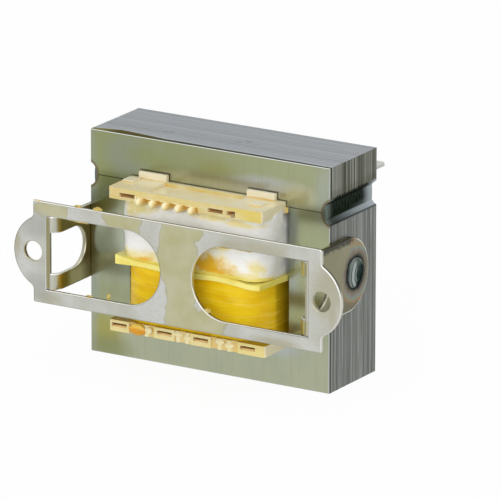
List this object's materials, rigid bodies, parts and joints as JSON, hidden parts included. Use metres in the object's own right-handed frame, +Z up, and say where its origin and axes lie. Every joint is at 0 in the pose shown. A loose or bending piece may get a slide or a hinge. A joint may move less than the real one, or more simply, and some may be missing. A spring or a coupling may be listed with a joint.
{
  "type": "control transformer",
  "caption": "Open-frame control transformer with a welded laminated core, wrapped coils on a split bobbin, push-on blade terminals and a folded strap bracket for panel mounting.",
  "frame": {"origin": "midway between the two mounting holes, on the bracket's mounting face", "axes": "+Z up along the core's height, +Y from the mounting face back towards the core and the blade terminals, +X along the bracket"},
  "size_m": [0.0902, 0.06, 0.055],
  "materials": {
    "core_steel": "varnish-dipped silicon steel sheet",
    "weld_metal": "bare weld metal, dark with heat tint",
    "bracket_steel": "tinned sheet steel with a film of varnish",
    "bobbin_nylon": "cream moulded nylon with pools of amber varnish",
    "copper_wire": "enamelled copper wire",
    "white_wrap": "fibrous white insulating wrap",
    "yellow_tape": "glossy yellow polyester tape",
    "tinned_brass": "tin-plated brass"
  },
  "bodies": {
    "root": {"e_laminations": "core_steel", "i_laminations": "core_steel", "seam_weld_left": "weld_metal", "seam_weld_right": "weld_metal", "mounting_bracket": "bracket_steel", "bracket_weld_left": "weld_metal", "bracket_weld_right": "weld_metal", "bobbin": "bobbin_nylon", "primary_winding": "copper_wire", "primary_wrap": "white_wrap", "secondary_winding": "copper_wire", "secondary_wrap": "yellow_tape", "primary_blade_left": "tinned_brass", "primary_blade_right": "tinned_brass", "secondary_blade_left": "tinned_brass", "secondary_blade_right": "tinned_brass"}
  },
  "joints": []
}
